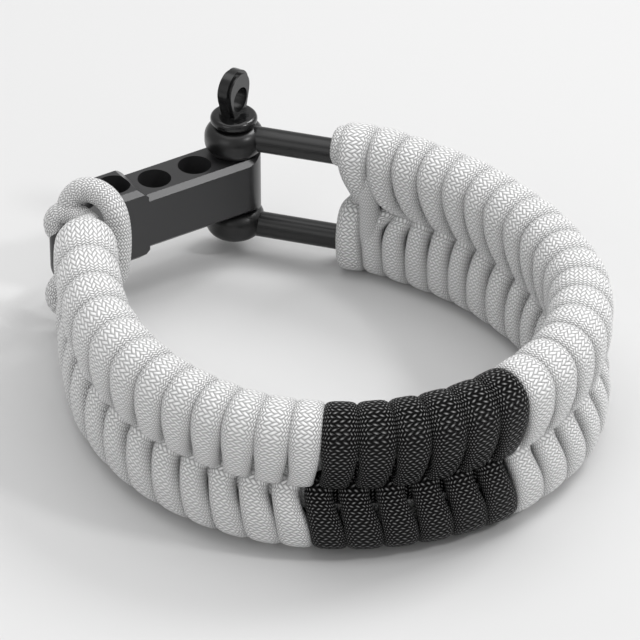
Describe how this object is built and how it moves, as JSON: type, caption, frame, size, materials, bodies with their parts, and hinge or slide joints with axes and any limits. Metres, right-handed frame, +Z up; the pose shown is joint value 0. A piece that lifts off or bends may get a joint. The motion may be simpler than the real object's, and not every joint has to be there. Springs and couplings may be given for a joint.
{
  "type": "paracord bracelet",
  "caption": "Woven cord band closed by a small bow shackle, a screw pin and a drilled adjuster bar, lying on its edge.",
  "frame": {"origin": "on the surface that the bracelet lies on, under the middle of its box", "axes": "+Z up across the band, +Y away from the black section, towards the clasp, +X to the right"},
  "size_m": [0.0842, 0.0871, 0.0319],
  "materials": {
    "black_steel": "black coated stainless steel, satin",
    "white_cord": "white braided nylon cord",
    "black_cord": "black braided nylon cord"
  },
  "bodies": {
    "root": {"adjuster": "black_steel", "shackle": "black_steel", "screw_pin": "black_steel", "upper_core_cord": "white_cord", "lower_core_cord": "white_cord", "white_upper_long": "white_cord", "white_lower_long": "white_cord", "black_upper": "black_cord", "black_lower": "black_cord", "white_upper_short": "white_cord", "white_lower_short": "white_cord"}
  },
  "joints": []
}
